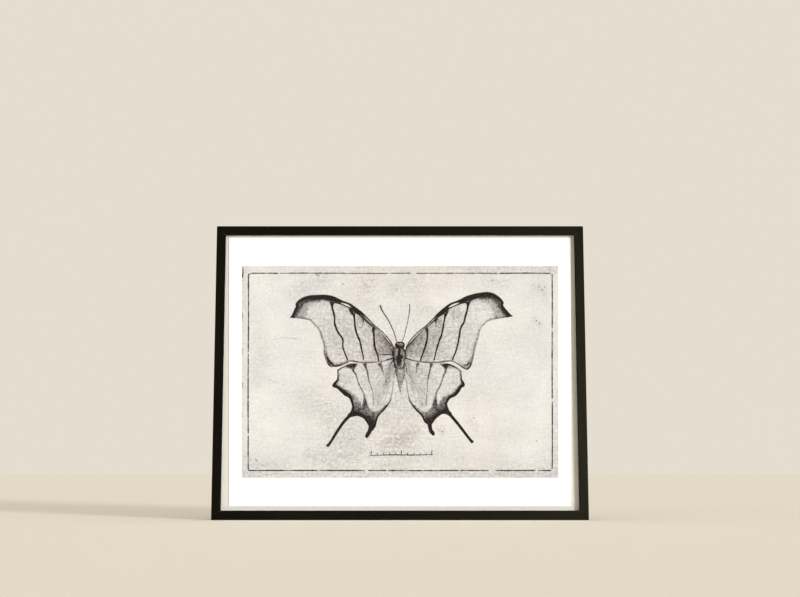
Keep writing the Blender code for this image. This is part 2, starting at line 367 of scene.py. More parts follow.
# %% [markdown]
# ## Glass
#
# Picture glass should not be seen. Light reaches the print straight through it, so everything but the camera's own
# rays passes a plain transparent shader. The camera sees real glass with a weak reflection, as on glass with a
# thin anti-glare coat. Floated glass is not quite flat, so a very shallow wave bends what it reflects.

# %% Picture glass
glass, tree, shader, place = new_material("picture_glass")
sleek = grain(tree, place, 60, 2)
feed(tree, shader, {"Base Color": (0.985, 0.995, 0.99, 1), "Transmission Weight": 1, "IOR": 1.5,
                    "Specular IOR Level": 0.04, "Roughness": fade(tree, sleek, 0.3, 0.7, 0.0, 0.01)})
add_bump(tree, shader, sleek, 0.02, 0.2)
camera_ray = add_node(tree, "ShaderNodeLightPath").outputs["Is Camera Ray"]
clear = add_node(tree, "ShaderNodeBsdfTransparent")
seen = add_node(tree, "ShaderNodeMixShader", {0: camera_ray, 1: clear.outputs[0], 2: shader.outputs[0]})
feed(tree, tree.nodes["Material Output"], {"Surface": seen.outputs[0]})
give(glass, "glazing")

# %% [markdown]
# ## Old paper, pencil and ink
#
# The print shows a drawing on old paper: grey clouds, warmer in the middle, with fibres that run across it. Pencil
# is not a colour of its own but a share of black that the paper's tooth breaks up, most of all in the middle
# tones, and it has a faint warm sheen until it is laid on thick and turns black. So one group mixes both. Each
# mesh of the print carries an attribute called ink, from 0 for bare paper to 1 for solid black. The paper runs on
# unbroken below all of them, because the group reads places on the sheet.

# %% The drawn paper group
PAPER_WARM = (0.683, 0.653, 0.630, 1)
PAPER_COOL = (0.664, 0.654, 0.648, 1)
PENCIL_GREY = (0.047, 0.020, 0.024, 1)
INK_BLACK = (0.006, 0.0015, 0.002, 1)

group, given, result = new_group(
    "drawn_paper",
    {"Place": ("vector", None), "Ink": ("value", 0.0)},
    {"Colour": "colour", "Height": "value", "Roughness": "value"})
ink = given.outputs["Ink"]
flat = scale_axes(group, given.outputs["Place"], (1, 0, 1))
clouds = grain(group, flat, 40, 4, 0.6)
tints = grain(group, flat, 60, 2)
fibres = grain(group, flat, 1.7, 4, 0.65, (14, 1, 1))
mottle = grain(group, flat, 3.0, 5, 0.75)
tooth = grain(group, flat, 1.5, 4, 0.65)
uneven = 0.0
for pattern, depth in ((fibres, 0.42), (mottle, 0.90), (tooth, 0.60)):
    uneven = calculate(group, "MULTIPLY_ADD", calculate(group, "SUBTRACT", pattern, 0.5), depth, uneven)
specks = fade(group, grain(group, flat, 1.6, 0), 0.80, 0.86, 0.0, 0.35)
handled = fade(group, ink, 0, 0.2, 0.55, 1.7)
cloudy = calculate(group, "MULTIPLY_ADD", clouds, 0.4, 0.8)
bright = calculate(group, "SUBTRACT", calculate(group, "MULTIPLY_ADD", uneven, handled, cloudy), specks)
across = add_node(group, "ShaderNodeSeparateXYZ", {0: flat}).outputs[0]
aside = fade(group, calculate(group, "ABSOLUTE", across), 55 * MM, 130 * MM, -0.25, 0.3)
aside = calculate(group, "ADD", aside, fade(group, ink, 0.05, 0.2, 0, 0.4))
cool = calculate(group, "ADD", fade(group, tints, 0.35, 0.65), aside)
paper = blend_colour(group, cool, PAPER_WARM, PAPER_COOL)
paper = add_node(group, "ShaderNodeVectorMath", {0: paper, 3: bright}, operation="SCALE").outputs[0]

strokes = grain(group, flat, 2.6, 3, 0.6)
broken = calculate(group, "MULTIPLY_ADD", calculate(group, "SUBTRACT", tooth, 0.5), 1.9,
                   calculate(group, "MULTIPLY", calculate(group, "SUBTRACT", strokes, 0.5), 1.7))
middle = calculate(group, "MULTIPLY", ink, calculate(group, "SUBTRACT", 1.0, ink))
broken = calculate(group, "MULTIPLY", broken, middle)
covered = calculate(group, "MULTIPLY_ADD", broken, 3.0, calculate(group, "MULTIPLY", ink, 1.06))
covered = add_node(group, "ShaderNodeClamp", {0: covered}).outputs[0]
pigment = blend_colour(group, fade(group, covered, 0.8, 1.0), PENCIL_GREY, INK_BLACK)
feed(group, result, {"Colour": blend_colour(group, covered, paper, pigment),
                     "Height": calculate(group, "MULTIPLY_ADD", covered, -0.4, tooth),
                     "Roughness": fade(group, covered, 0, 1, 0.85, 0.62)})

drawn_paper, tree, shader, place = new_material("drawn_paper")
ink = add_node(tree, "ShaderNodeAttribute", attribute_name="ink").outputs["Fac"]
drawn = add_group(tree, "drawn_paper", {"Place": place, "Ink": ink})
feed(tree, shader, {"Base Color": drawn["Colour"], "Roughness": drawn["Roughness"], "Specular IOR Level": 0.02})
add_bump(tree, shader, drawn["Height"], 0.02, 0.5)
print(len(group.nodes), "nodes in the drawn paper")

# %% [markdown]
# ## Pen, brush and paper as tools
#
# Four tools make the whole drawing. A smooth curve runs through a few points. A soft brush says how dark each
# place is near such a curve. A patch is a disc whose rim is laid along an outline and which is then cut into
# small cells, so that the brush has corners to darken. Pen strokes are one long strip of cells, bent along every
# stroke in turn, with the cells between two strokes deleted. Each mesh has its own layer, in millimetres in front
# of the sheet, and strokes that may cross are lifted in turn by a hair, so that no two lie in one plane.

# %% Smooth curves and soft brushes


def smooth(points, spacing=0.8):
    """Rows along a smooth curve through the given rows, so many millimetres apart. Widths are smoothed too."""
    rows = np.array(points, float)
    rows = np.vstack((2 * rows[0] - rows[1], rows, 2 * rows[-1] - rows[-2]))
    found = []
    for before, start, end, after in zip(rows, rows[1:], rows[2:], rows[3:]):
        steps = max(1, round(hypot(*(end - start)[:2]) / spacing))
        for share in np.arange(steps) / steps:
            bend = 2 * before - 5 * start + 4 * end - after
            turn = 3 * start - before - 3 * end + after
            found.append(start + 0.5 * share * ((end - before) + share * (bend + share * turn)))
    found.append(rows[-2])
    return np.array(found)


def outline_of(*stretches):
    """A closed outline from smooth stretches that meet in corners."""
    return np.vstack([smooth(stretch)[:-1, :2] for stretch in stretches])


def brushed(places, path, softness=1.0):
    """How dark a soft brush makes each place. The path's rows are x, z, reach and tone."""
    path = np.array(path, float)
    darkest = np.zeros(len(places))
    for start, end in zip(path, np.vstack((path[1:], path[-1:]))):
        along = end[:2] - start[:2]
        share = np.clip((places - start[:2]) @ along / max(along @ along, 1e-9), 0, 1)
        away = np.linalg.norm(places - start[:2] - share[:, None] * along, axis=1)
        reach, tone = (start[2:4, None] + share * (end - start)[2:4, None])
        inside = np.clip((1 - away / reach) / softness, 0, 1)
        darkest = np.maximum(darkest, tone * inside * inside * (3 - 2 * inside))
    return darkest


def over(lower, upper):
    """Two layers of pencil, one over the other."""
    return 1 - (1 - lower) * (1 - upper)


print("a smooth curve has", len(smooth([(0, 0), (5, 3), (12, 4)])), "points")

# %% Patches and strokes
LAYERS = {"printed_plate": 0.05, "hindwing": 0.075, "hindwing_hatching": 0.085, "forewing": 0.1,
          "forewing_hatching": 0.12, "border_line": 0.13, "hindwing_lines": 0.13, "antennae": 0.13,
          "scale_mark": 0.13, "forewing_lines": 0.17, "abdomen": 0.205, "thorax": 0.21, "head": 0.215,
          "abdomen_rings": 0.215, "thorax_fur": 0.22, "body_glints": 0.262}
STROKE_LIFT = 0.0008
STROKE_LIFTS = 40


def layer_of(name):
    """A mesh's layer. The left and the right one of a pair share theirs."""
    return LAYERS[name.removesuffix("_left").removesuffix("_right")]


def finish_sheet(piece, places, depths, inks, by_hand=None):
    """Lay a flat mesh on the sheet at its drawing places, moved by a hand if asked, facing out, with its ink."""
    if by_hand:
        places = by_hand(places)
    room = [on_sheet(x, z, depth) for (x, z), depth in zip(places, depths)]
    piece.data.vertices.foreach_set("co", np.array(room, np.float32).ravel())
    piece.data.update()
    layer = piece.data.attributes.new("ink", "FLOAT", "POINT")
    layer.data.foreach_set("value", np.clip(inks, 0, 1).astype(np.float32))
    if piece.data.polygons[0].normal.y > 0:
        piece.data.flip_normals()
    piece.data.materials.append(drawn_paper)
    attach(piece, "root")
    return piece


def in_edit_mode(piece, work):
    deselect()
    bpy.context.view_layer.objects.active = piece
    piece.select_set(True)
    bpy.ops.object.mode_set(mode="EDIT")
    work()
    bpy.ops.object.mode_set(mode="OBJECT")


def flat_places(piece):
    places = np.zeros(len(piece.data.vertices) * 3)
    piece.data.vertices.foreach_get("co", places)
    return places.reshape(-1, 3)[:, :2]


def make_patch(name, outline, shade, by_hand=None, cell=1.0):
    """A flat patch inside an outline, cut into cells and shaded by a function of its places."""
    deselect()
    bpy.ops.mesh.primitive_circle_add(vertices=len(outline), radius=1, fill_type="NGON")
    patch = bpy.context.object
    patch.name = name
    rim = np.column_stack((outline, np.zeros(len(outline)))).astype(np.float32)
    patch.data.vertices.foreach_set("co", rim.ravel())

    def cut_into_cells():
        bpy.ops.mesh.select_all(action="SELECT")
        bpy.ops.mesh.quads_convert_to_tris(ngon_method="BEAUTY")
        for axis, across in ((0, (1, 0, 0)), (1, (0, 1, 0))):
            low, high = outline[:, axis].min(), outline[:, axis].max()
            for step in range(1, int((high - low) / cell)):
                point = [0, 0, 0]
                point[axis] = low + step * cell
                bpy.ops.mesh.select_all(action="SELECT")
                bpy.ops.mesh.bisect(plane_co=point, plane_no=across)

    in_edit_mode(patch, cut_into_cells)
    places = flat_places(patch)
    return finish_sheet(patch, places, [layer_of(name)] * len(places), shade(places), by_hand)


ACROSS = (-1.0, -0.6, 0.6, 1.0)
EDGE_TONE = 0.5


def lay_out(strokes, layer):
    """All strokes end to end: middles, widths, ways to the left, tones, leans and lifts, and where each ends."""
    laid = []
    for number, (rows, tone, lean) in enumerate(strokes):
        rows = np.array(rows)
        count = len(rows)
        ahead = np.gradient(rows[:, :2], axis=0)
        ahead /= np.maximum(np.linalg.norm(ahead, axis=1), 1e-9)[:, None]
        left = np.column_stack((-ahead[:, 1], ahead[:, 0]))
        lift = layer + (number % STROKE_LIFTS) * STROKE_LIFT
        laid.append((rows[:, :2], rows[:, 2:3], left, np.broadcast_to(tone, count), np.full((count, 1), lean),
                     np.full(count, lift)))
    ends = np.cumsum([len(stroke[0]) for stroke in laid]) - 1
    return [np.concatenate(column) for column in zip(*laid)], set(ends)


def make_strokes(name, strokes, shade, by_hand=None):
    """One mesh of pen strokes. Each is (rows of x, z and width, tones, lean to the left of its direction)."""
    (middles, widths, left, tones, leans, lifts), ends = lay_out(strokes, layer_of(name))
    steps = len(middles) - 1
    deselect()
    bpy.ops.mesh.primitive_grid_add(x_subdivisions=steps, y_subdivisions=len(ACROSS) - 1, size=1)
    strip = bpy.context.object
    strip.name = name
    strip.data.vertices.foreach_set("select", [False] * len(strip.data.vertices))
    strip.data.edges.foreach_set("select", [False] * len(strip.data.edges))
    strip.data.polygons.foreach_set("select", [face.index % steps in ends for face in strip.data.polygons])
    bpy.context.tool_settings.mesh_select_mode = (False, False, True)
    in_edit_mode(strip, lambda: bpy.ops.mesh.delete(type="FACE"))
    bpy.context.tool_settings.mesh_select_mode = (True, False, False)
    places = np.vstack([middles + left * (widths / 2 * (side + leans)) for side in ACROSS])
    inks = np.concatenate([tones * (EDGE_TONE if abs(side) == 1 else 1) for side in ACROSS])
    return finish_sheet(strip, places, np.tile(lifts, len(ACROSS)), over(shade(places), inks), by_hand)


print("tools ready")

# %% [markdown]
# ## The printed plate
#
# The drawing is printed as a wide plate in the middle of the white sheet. Old paper darkens in its middle and
# towards its edges, and has soft smudges where it was handled. All of those are brush marks in the plate's ink
# attribute, each a path of places with a reach and a tone. A grid of small cells is fine enough for them, because
# the paper's own texture comes from the shader.

# %% Plate with its smudges
PLATE_WIDTH = 328.8
PLATE_HEIGHT = 220.3
PLATE_CELL = 1.6
BORDER_X = 157.85
BORDER_Z = 102.5
WASHES = [
    [(-76, 104, 44, 0.05), (0, 98, 46, 0.04), (96, 106, 40, 0.06)],
    [(-40, 60, 70, 0.06), (10, 5, 80, 0.09), (-6, -60, 80, 0.12)],
    [(0, -28, 40, 0.06), (0, -50, 40, 0.02)],
    [(88, 4, 34, 0.05), (100, -60, 38, 0.04)],
    [(-85, -20, 34, 0.03), (-60, -76, 44, 0.15)],
    [(-150, -108, 34, 0.06), (0, -112, 44, 0.05), (150, -108, 40, 0.09)],
]
SMUDGES = [
    [(-112, 80, 15, 0.08), (-80, 96, 18, 0.08)],
    [(-36, 88, 11, 0.09), (-26, 98, 10, 0.07)],
    [(-6, 88, 14, 0.07), (20, 92, 18, 0.06)],
    [(22, 66, 12, 0.08), (38, 62, 10, 0.07)],
    [(92, 94, 12, 0.07), (112, 90, 10, 0.06)],
    [(140, 88, 8, 0.10), (149, 86, 8, 0.12), (152, 70, 5, 0.07)],
    [(138, 56, 6, 0.09), (146, 48, 7, 0.11)],
    [(-146, 30, 18, 0.05), (-150, -10, 14, 0.05)],
    [(-100, -30, 24, 0.06), (-70, -44, 20, 0.07)],
    [(-14, -76, 13, 0.14), (3, -70, 14, 0.21), (16, -62, 10, 0.10)],
    [(41, -58, 6, 0.12), (45, -63, 4, 0.18)],
    [(72, -50, 9, 0.08), (79, -58, 8, 0.08)],
    [(-158, -88, 9, 0.10), (-148, -98, 12, 0.11), (-120, -96, 12, 0.06)],
    [(-96, -88, 10, 0.08), (-70, -92, 12, 0.08)],
    [(-164, -109, 14, 0.12), (-110, -110, 10, 0.07), (-30, -110, 10, 0.07)],
    [(-165, 110, 14, 0.09), (-165, 60, 7, 0.05), (-165, -40, 6, 0.04)],
    [(60, -110, 12, 0.07), (165, -108, 16, 0.10), (165, -20, 6, 0.06)],
    [(60, 110, 8, 0.07), (165, 108, 10, 0.09)],
]


def plate_shade(places):
    """Washes and smudges, and a margin outside the border line that is a little darker."""
    shade = np.zeros(len(places))
    for path in WASHES + SMUDGES:
        shade = over(shade, brushed(places, path))
    outside = np.maximum(np.abs(places[:, 0]) - BORDER_X, np.abs(places[:, 1]) - BORDER_Z)
    return over(shade, 0.04 * np.clip(outside / 3, 0, 1))


deselect()
bpy.ops.mesh.primitive_grid_add(x_subdivisions=round(PLATE_WIDTH / PLATE_CELL),
                                y_subdivisions=round(PLATE_HEIGHT / PLATE_CELL), size=1)
plate = bpy.context.object
plate.name = "printed_plate"
places = flat_places(plate) * (PLATE_WIDTH, PLATE_HEIGHT)
finish_sheet(plate, places, [layer_of("printed_plate")] * len(places), plate_shade(places))
print("plate cells:", len(plate.data.polygons))

# %% [markdown]
# ## Border line
#
# A single ruled line runs round the plate. It was printed from an old block, so it thins out in places, breaks
# here and there, and its top left corner is worn round. Each of its four sides is drawn as several pen strokes
# with short gaps between them. A stroke's points say how far along the side they lie and how far they stray to the
# right or up, and each stroke has a tone. The plate's own edge has left a few dark marks too, on its left, and a
# few specks of ink and faint creases lie about.

# %% Border line
LINE_WIDTH = 1.45
BORDER_RUNS = [
    ("top", 0.78, [(-154.25, 0), (-140, 0.1), (-126.2, 0)]),
    ("top", 0.74, [(-124.8, 0), (-96, 0.2), (-30, -0.1), (-12, 0)]),
    ("top", 0.7, [(-10.6, 0), (0, 0), (11, 0.1)]),
    ("top", 0.72, [(17, 0), (60, 0.1), (102, 0)]),
    ("top", 0.8, [(103, 0), (130, 0.2), (156.65, 0)]),
    ("right", 0.84, [(101.5, 0.3), (70, 0.4), (45, 0.3)]),
    ("right", 0.8, [(42.5, 0.3), (10, 0.2), (-28, 0.3)]),
    ("right", 0.84, [(-30.5, 0.3), (-70, 0.4), (-100.9, 0.2)]),
    ("bottom", 0.84, [(157.25, 0), (150, 0), (142.5, 0)]),
    ("bottom", 0.86, [(140.5, 0), (120, -0.1), (99, 0)]),
    ("bottom", 0.84, [(92, 0), (76, -0.1), (62, 0)]),
    ("bottom", 0.84, [(61, 0), (20, -0.2), (-12, 0)]),
    ("bottom", 0.84, [(-14, 0), (-24, 0), (-33, 0)]),
    ("bottom", 0.86, [(-36.5, 0), (-60, -0.1), (-84, 0.1)]),
    ("bottom", 0.86, [(-85.5, 0), (-120, 0), (-157.25, 0)]),
    ("left", 0.84, [(-102.5, 0.3), (-80, 0.2), (-66, 0.3)]),
    ("left", 0.82, [(-64.5, 0.3), (-30, 0.1), (19, 0.3)]),
    ("left", 0.86, [(20.5, 0.3), (70, 0.5), (99.1, 0.4), (101.5, 1.4), (102.5, 3.6)]),
]
EDGE_MARKS = [(0.9, [(-163.4, 109), (-163.2, 104), (-163.5, 98)]), (0.35, [(-163.6, 62), (-163.5, 54)]),
              (0.35, [(-163.6, 25), (-163.4, 17)]), (0.5, [(-163.6, -11), (-163.4, -17)]),
              (0.35, [(-163.6, -42), (-163.5, -48)])]
CREASES = [[(-130, 34), (-118, 35.2), (-105, 34)], [(-138, -8), (-128, -11), (-120, -14)],
           [(-87, -36), (-78, -33.4), (-70, -33)], [(-40, 96), (-34, 86), (-30, 82)],
           [(-66, -12), (-60, -17), (-52, -18)],
           [(71.3, 109), (71.6, 106), (71.5, 103)], [(155.6, 109), (155.9, 106), (155.7, 103.6)]]
SPECKS = [(-102, 92.5), (-87, 101), (-85, 100), (144, 88), (147, 85), (150, 88), (141, 53), (144, 50), (141, -72),
          (-4, 86), (95, 95), (-96, -81), (-60, 91), (-44, 79), (43, -62), (-150, -92), (-148, -96), (76, -48)]


def worn_line(points, width, tone, chance):
    """A printed line whose width and tone wander along its length, as pen strokes are given to make_strokes."""
    rows = smooth(points, 1.5)
    wander = np.array([chance.uniform(0.72, 1.25) for _ in rows])
    wander = np.convolve(wander, (0.25, 0.5, 0.25), "same")
    wander[[0, -1]] = 0.8
    tones = tone * np.clip(wander * 1.05, 0.6, 1.06)
    return np.column_stack((rows, width * wander)), tones, 0


def on_border(side, run):
    """A run's places, from how far along its side they lie and how far they stray from it."""
    if side in ("top", "bottom"):
        middle = BORDER_Z if side == "top" else -BORDER_Z
        return [(along, middle + stray) for along, stray in run]
    middle = BORDER_X if side == "right" else -BORDER_X
    return [(middle + stray, along) for along, stray in run]


chance = random.Random(11)
border = [worn_line(on_border(side, run), LINE_WIDTH, tone, chance) for side, tone, run in BORDER_RUNS]
marks = [worn_line(run, 1.3, tone, chance) for tone, run in EDGE_MARKS]
specks = [worn_line([(x, z), (x + 0.8, z + 0.2), (x + 1.3, z - 0.2)], 1.6, 0.7, chance) for x, z in SPECKS]
creases = [worn_line(run, 0.8, 0.26, chance) for run in CREASES]
make_strokes("border_line", border + marks + specks + creases, plate_shade)
print("border strokes:", len(border), "edge marks:", len(marks))

# %% [markdown]
# ## How a hand draws two halves
#
# A butterfly is symmetrical, but a drawing of one never quite is. Everything is laid out once, on the right, and
# the left half is its mirror image with small pushes here and there: a lower shoulder, a rounder corner, a longer
# tail. Each push has a place, a reach and a small move, and fades out smoothly around its place. The right hand
# needs none.

# %% The two hands
LEFT_PUSHES = [
    ((92, 83), 14, (-0.5, -3.2)), ((116.6, 58.4), 7, (-2.6, -1.3)), ((107.3, 69), 4, (1.3, -1)),
    ((34, 56), 12, (0, 1.9)), ((72, 5), 8, (2, 3.2)), ((79.5, 18), 7, (2, 0)), ((87, 48), 7, (2.6, 0.6)),
    ((65, 45), 8, (3.0, 0)), ((61, 34), 5, (-2.4, 0)), ((46, 45), 14, (1.8, 0)), ((38, 22), 9, (1.8, 0)),
    ((28, 37), 8, (-1.8, 0)), ((52, 4), 5, (3, 0)), ((34, 6), 8, (4, 0)), ((30, -8), 8, (3.5, 0)),
    ((20, 6), 6, (2.4, 0)), ((67.3, -13.5), 6, (3, -0.9)), ((64, 0), 5, (1, 0.6)), ((52, -20), 7, (0, 2.4)),
    ((50, -34), 6, (0.8, -2.6)), ((47, -44), 7, (0.6, -2.2)), ((28, -55), 5, (-1.2, -4.6)),
    ((35, -66), 6, (0, -2.6)), ((76, -74), 16, (0, -4)),
]


def left_hand(places):
    moved = places.copy()
    for centre, reach, push in LEFT_PUSHES:
        share = np.exp(-((places - centre) ** 2).sum(axis=1) / reach ** 2)
        moved += share[:, None] * push
    return moved * (-1, 1)


HANDS = {"right": None, "left": left_hand}
print("pushes on the left:", len(LEFT_PUSHES))

# %% [markdown]
# ## Wing outlines
#
# Each wing's outline is a few smooth stretches that meet in corners. The forewing has a long front edge, a hooked
# tip, a hollow outer edge and a nearly straight hind edge. The hindwing fans out below it into a point, one long
# tail and one short tail. Pen lines will follow the outlines later, so each row says not only where the edge is,
# in x and z, but also how wide its line is there and, where it isn't black all along, how dark. The front edge's
# line swells into the black tip.

# %% Outlines
BLACK = 1.0
FRONT_EDGE = [
    (6, 25.5, 1.2, 0.7), (10, 32.8, 1.2, 0.75), (18, 41.6, 1.3, 0.8), (25.5, 47.5, 1.3, 0.85),
    (33, 54.6, 1.4, 0.9), (40, 62, 2.4, 0.95), (50, 70.2, 2.6, BLACK), (55, 72.6, 2.2, BLACK),
    (60, 74.4, 2.8, BLACK), (65, 76.9, 4.8, BLACK), (70, 79.2, 6.4, BLACK), (80, 81.9, 5.2, BLACK),
    (90, 83.2, 5, BLACK), (95, 82.6, 4.6, BLACK), (99, 80.9, 4, BLACK), (103, 78.2, 3.4, BLACK),
    (106.5, 74.6, 3, BLACK), (108, 71.8, 2.8, BLACK)
]
HOOK = [(108, 71.8, 2.8), (107.2, 69.2, 2.8), (109.5, 66, 3), (113, 62, 3), (116.9, 57.8, 1.2)]
HOLLOW = [
    (116.9, 57.8, 1.6, 0.95), (112, 56.6, 1.8, 0.75), (106, 55.8, 1.8, 0.5), (100, 54.8, 1.8, 0.45),
    (95, 53.7, 1.7, 0.42), (91.2, 52, 1.7, 0.42), (86, 47.3, 1.6, 0.34), (83, 41.8, 1.9, 0.4),
    (82.3, 37, 1.9, 0.4), (79.8, 30, 1.9, 0.38), (78, 22, 1.9, 0.42), (76.4, 14, 1.9, 0.55)
]
FORE_CORNER = [
    (76.4, 14, 1.5, 0.55), (75, 9, 1.9, 0.7), (73.8, 5.6, 2.2, 0.75), (71.8, 3, 2.2, 0.75), (69.5, 2, 1.9, 0.7),
    (66.5, 2.8, 1.5, 0.65)
]
HIND_EDGE = [
    (66.5, 2.8, 1.8, 0.8), (61.5, 6.4, 1.6, 0.65), (55, 10, 1.6, 0.65), (50, 10.4, 1.8, 0.75),
    (40, 9.2, 1.7, 0.75), (30, 9, 1.6, 0.7), (20, 9.8, 1.5, 0.65), (12, 11.4, 1.5, 0.7), (4, 13.6, 1.5, 0.75)
]
FORE_ROOT = [(4, 13.6), (6, 25.5)]
forewing_outline = outline_of(FRONT_EDGE, HOOK, HOLLOW, FORE_CORNER, HIND_EDGE, FORE_ROOT)

HIND_ROOT = [(4, 13), (12, 11), (20, 9.6), (30, 9), (40, 9.2), (45, 9)]
HIND_TOP = [
    (45, 9, 1.6, 0.8), (50, 8.6, 1.8, 0.85), (53, 7.9, 1.8, 0.85), (59, 5, 1.7, 0.8), (62, 2.6, 1.7, 0.8),
    (63.8, 0.8, 1.7, 0.75)
]
HIND_SIDE = [
    (63.8, 0.8, 1.7, 0.75), (64.2, -3.5, 1.7, 0.75), (64.8, -8, 2.2, 0.85), (66.2, -10.2, 2.8, BLACK),
    (67.3, -12.8, 3.2, BLACK), (67.2, -14.6, 3.4, BLACK), (66, -15.8, 3.2, BLACK)
]
HIND_MARGIN = [
    (66, -15.8, 2.4, BLACK), (64.2, -16.6, 3, BLACK), (61.8, -20.8, 3.6, BLACK), (57.8, -25.2, 3.4, 0.95),
    (52.4, -27.8, 3, 0.92), (49.3, -32.4, 2.4, 0.95), (49.4, -35.4, 2.4, BLACK), (51, -39.6, 3, BLACK),
    (53.4, -43.6, 3, BLACK)
]
LONG_TAIL = [
    (53.4, -43.6), (60.4, -52), (68.4, -62.4), (74, -69.8), (76.2, -71.6), (76.5, -73.2), (75, -74.1),
    (73.2, -73.2), (68, -66.6), (60, -56.4), (53, -47.4), (51, -45.6), (46, -43.8)
]
BETWEEN_TAILS = [(46, -43.8, 2.6), (43, -44.4, 2.6), (38, -48.2, 2.6), (35.4, -51.4, 2.4), (33, -54.6, 2)]
SHORT_TAIL = [
    (33, -54.6, 2, BLACK), (33.6, -59.4, 2, BLACK), (35.4, -62.4, 2, BLACK), (36.2, -64.5, 2, BLACK),
    (34.6, -66.5, 1.8, 0.95), (32.6, -65, 1.4, 0.9), (30.4, -62.4, 1.2, 0.85), (28.4, -54.6, 1.2, 0.85)
]
INNER_MARGIN = [
    (28.4, -54.6, 2, 0.95), (25.4, -52.4, 2.2, 0.95), (22.4, -46.6, 2, 0.9), (20, -43.6, 1.9, 0.9),
    (16, -39.8, 2, 0.85), (10, -31.6, 1.9, 0.8), (8.4, -26, 1.3, 0.55), (7.4, -20, 1.2, 0.45),
    (5.6, -8, 1.1, 0.42), (4, 4, 1, 0.4), (4, 13, 0.8, 0.4)
]
hindwing_outline = outline_of(HIND_ROOT, HIND_TOP, HIND_SIDE, HIND_MARGIN, LONG_TAIL, BETWEEN_TAILS, SHORT_TAIL,
                              INNER_MARGIN)
print("outline points:", len(forewing_outline), len(hindwing_outline))

# %% [markdown]
# ## Veins and bands
#
# Three dark bands cross each forewing from its front edge, and three thinner ones run down the hindwing. Each is a
# curve with a width at every point: broad and wedge-shaped where it leaves the edge, then thinner and slightly
# uneven, as a pen pressed and lifted makes it. The hindwing's fade out, so they have a tone at every point as well.

# %% Bands
FORE_BANDS = [
    [(70.2, 75, 7.5), (70.6, 71.5, 4.6), (70.6, 68.5, 2.4), (69.7, 64, 1.9), (68.6, 60.5, 2.1), (67.2, 55, 1.8),
     (66.4, 51.5, 1.8), (64.9, 49, 2), (63.3, 46, 1.8), (62.2, 42, 1.8), (61.9, 39, 2), (60.5, 31, 1.7),
     (57.9, 21, 1.5), (56.4, 17.5, 1.5), (53.9, 10.8, 1.6)],
    [(48.6, 66, 5), (48.2, 62.5, 4.2), (47.4, 59.5, 3.2), (46.6, 56.5, 2), (45.6, 51, 1.5), (44.9, 46.5, 1.9),
     (42.9, 37.5, 1.7), (41.6, 34.5, 2.1), (40.4, 31, 1.5), (39.1, 27, 1.9), (37.4, 21, 1.4), (35.5, 12, 1.3)],
    [(27.2, 46.6, 3), (27.6, 44.4, 3.2), (28.5, 42, 2.2), (28.3, 34.5, 1.7), (27.5, 31, 2), (25.7, 24.5, 1.9),
     (22.9, 17, 1.5), (20.6, 10, 1.3)],
]
WEDGE = [(38.4, 56, 3.2), (37.2, 52, 1.6), (37.3, 49.5, 0.8), (37.6, 46.5, 0.5)]
CURL = [(38.5, 45.4, 0.5), (42, 46.4, 0.6), (42.4, 49, 0.5), (40.4, 51.4, 0.4)]
HIND_BANDS = [
    [(46.8, 8.2, 6.5, 0.9), (47.2, 6.2, 5.6, 0.9), (47.4, 3.8, 3.2, 0.85), (47.4, 1.5, 1.9, 0.8),
     (46.9, -0.6, 1.9, 0.8), (45.6, -3, 1.7, 0.7), (43.4, -10, 1.4, 0.65), (40.8, -16.4, 1.6, 0.7),
     (38.8, -19.6, 1.4, 0.7), (37.2, -24, 1.8, 0.7), (36.7, -28, 3, 0.68), (36.2, -34, 4.6, 0.6),
     (35.6, -38, 3, 0.4)],
    [(33, 8.8, 4, 0.9), (32.4, 6.8, 2.8, 0.85), (31.2, 3, 1.5, 0.8), (30.1, -3, 1.5, 0.8), (29, -8, 1.2, 0.65),
     (28.1, -20, 1, 0.5), (27.4, -32, 1.1, 0.5), (27.4, -36, 0.7, 0.4)],
    [(19.4, 9.2, 3, 0.85), (18.2, 7, 2.8, 0.8), (17.2, 4.8, 1.8, 0.75), (16.9, -1.5, 0.9, 0.5),
     (16.6, -4, 0.5, 0.3)],
]
print("bands:", len(FORE_BANDS) + len(HIND_BANDS))

# %% [markdown]
# ## Shading of the wings
#
# The forewing is darkest at its root and pales outwards, with a soft deep shadow inside the hooked tip. The
# hindwing has a dark hem whose ragged upper edge is a line of its own, and which is deepest between the tails. A
# soft brush lays these tones down, and an eraser, which is the same brush used to take tone away, opens the light
# windows. No two wings are shaded quite alike, so each side also has a few tones and windows of its own.

# %% Soft tones
FORE_SHADES = [
    [(64, 76, 5, 0.8), (70, 76.5, 6, 0.9), (80, 79, 5.4, 0.9), (90, 79.6, 6, 0.85), (97, 78, 5.6, 0.8),
     (102.6, 74, 5.6, 0.75), (105.4, 68, 5, 0.75), (109, 62, 5, 0.85), (113, 59, 3.6, 0.95)],
    [(86, 77, 6, 0.35), (98, 73, 8, 0.38), (102, 64, 8, 0.42), (101, 58, 6, 0.32)],
    [(55, 68, 9, 0.22), (59, 58, 9, 0.12)],
    [(40, 54, 7, 0.28), (40, 44, 7, 0.16), (35, 32, 7, 0.14)],
    [(38, 58.6, 2, 0.9), (41.5, 61.2, 3, BLACK), (45, 63.8, 3.6, BLACK), (49, 66.6, 3.4, BLACK)],
    [(62, 73.4, 2.6, 0.9), (67, 74.6, 3.4, BLACK)],
    [(7, 25, 6, 0.5), (11, 30, 6, 0.42), (18, 37, 7, 0.36), (26, 43, 7, 0.3), (33, 51, 4, 0.25)],
    [(21, 34, 8, 0.22), (23, 26, 7, 0.16), (26, 16, 7, 0.12)],
    [(6, 19, 6, 0.4), (10, 20, 7, 0.15)],
    [(110, 58, 3, 0.4), (98, 56, 4, 0.2), (88, 50, 3, 0.15), (82, 40, 3, 0.2), (79, 28, 4, 0.25),
     (75.6, 12, 5, 0.42), (70, 5.6, 5, 0.55), (66, 5, 3.4, 0.35), (60, 9, 3, 0.2)],
]
